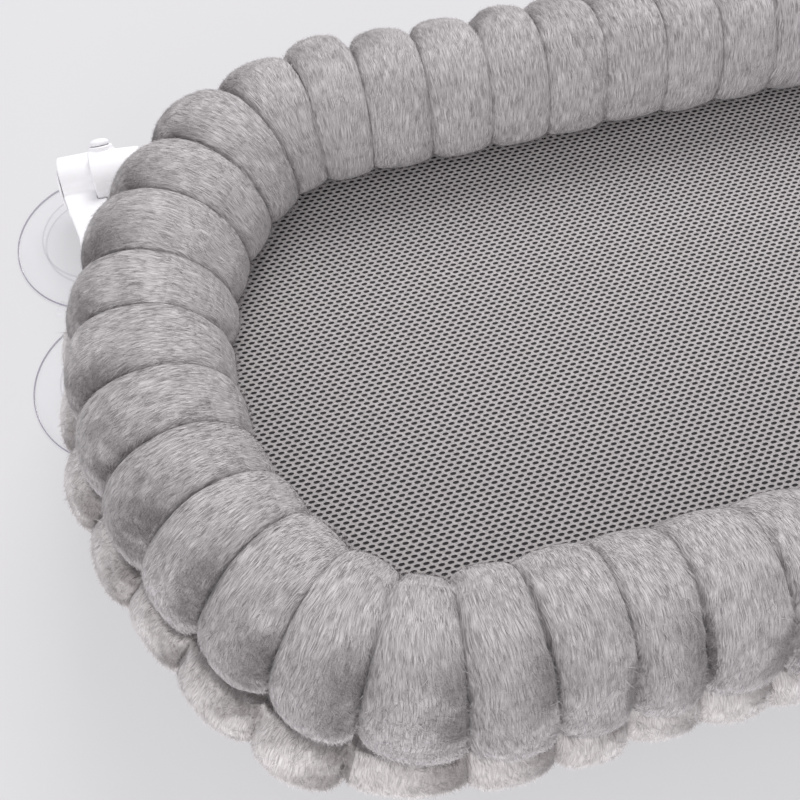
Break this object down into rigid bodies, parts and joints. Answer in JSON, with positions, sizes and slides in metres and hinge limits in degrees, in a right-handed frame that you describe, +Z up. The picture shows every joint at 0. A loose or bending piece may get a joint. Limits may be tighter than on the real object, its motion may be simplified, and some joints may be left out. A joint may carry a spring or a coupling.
{
  "type": "window mounted cat perch",
  "caption": "Oval window cat perch: a tiered plush bolster round a mesh sling on a steel ring, with folding arms that carry suction cups.",
  "frame": {"origin": "under the middle of the whole, on the plane that the cup rims stand on", "axes": "+X along the bed, +Y towards the window side, +Z up"},
  "size_m": [0.712, 0.4397, 0.141],
  "materials": {
    "plush": "short-pile faux fur",
    "plush_lower": "short-pile faux fur, rougher",
    "mesh": "open air mesh",
    "hem": "woven binding",
    "steel_tube": "white powder coat",
    "white_plastic": "satin moulded",
    "white_button": "satin moulded",
    "clear_cup": "clear soft vinyl",
    "zinc_steel": "zinc plated"
  },
  "bodies": {
    "bed": {"upper_roll": "plush", "lower_roll": "plush_lower", "mesh_panel": "mesh", "hem_sleeve": "hem", "ring_half_left": "steel_tube", "ring_half_right": "steel_tube", "ring_joiner_front": "zinc_steel", "ring_joiner_back": "zinc_steel", "ring_joiner_screws": "zinc_steel", "rear_bar": "steel_tube", "riser_left": "white_plastic", "riser_right": "white_plastic", "riser_screws": "zinc_steel", "bar_set_screws": "zinc_steel", "lock_housing_left": "white_plastic", "lock_housing_right": "white_plastic", "plunger_spring_left": "zinc_steel", "plunger_spring_right": "zinc_steel", "plunger_cap_left": "white_plastic", "plunger_cap_right": "white_plastic", "end_cap_left": "white_plastic", "end_cap_right": "white_plastic"},
    "arm_left": {"arm_left": "white_plastic", "cup_left_rear": "clear_cup", "cup_left_front": "clear_cup", "stud_left_rear": "zinc_steel", "stud_left_front": "zinc_steel", "cup_nuts_left": "zinc_steel"},
    "plunger_left": {"plunger_left": "white_button"},
    "arm_right": {"arm_right": "white_plastic", "cup_right_rear": "clear_cup", "cup_right_front": "clear_cup", "stud_right_rear": "zinc_steel", "stud_right_front": "zinc_steel", "cup_nuts_right": "zinc_steel"},
    "plunger_right": {"plunger_right": "white_button"}
  },
  "joints": [
    {"name": "arm_fold_left", "type": "hinge", "parent": "bed", "child": "arm_left", "pos_m": [-0.304, 0.191, 0.028], "axis": [1, 0, 0], "range_deg": [0, 90]},
    {"name": "arm_fold_right", "type": "hinge", "parent": "bed", "child": "arm_right", "pos_m": [0.304, 0.191, 0.028], "axis": [1, 0, 0], "range_deg": [0, 90]},
    {"name": "plunger_pull_left", "type": "slide", "parent": "bed", "child": "plunger_left", "axis": [0, 0.6428, 0.766], "range_m": [0, 0.003], "stiffness_N_per_m": 400, "springref_m": -0.004},
    {"name": "plunger_pull_right", "type": "slide", "parent": "bed", "child": "plunger_right", "axis": [0, 0.6428, 0.766], "range_m": [0, 0.003], "stiffness_N_per_m": 400, "springref_m": -0.004}
  ]
}
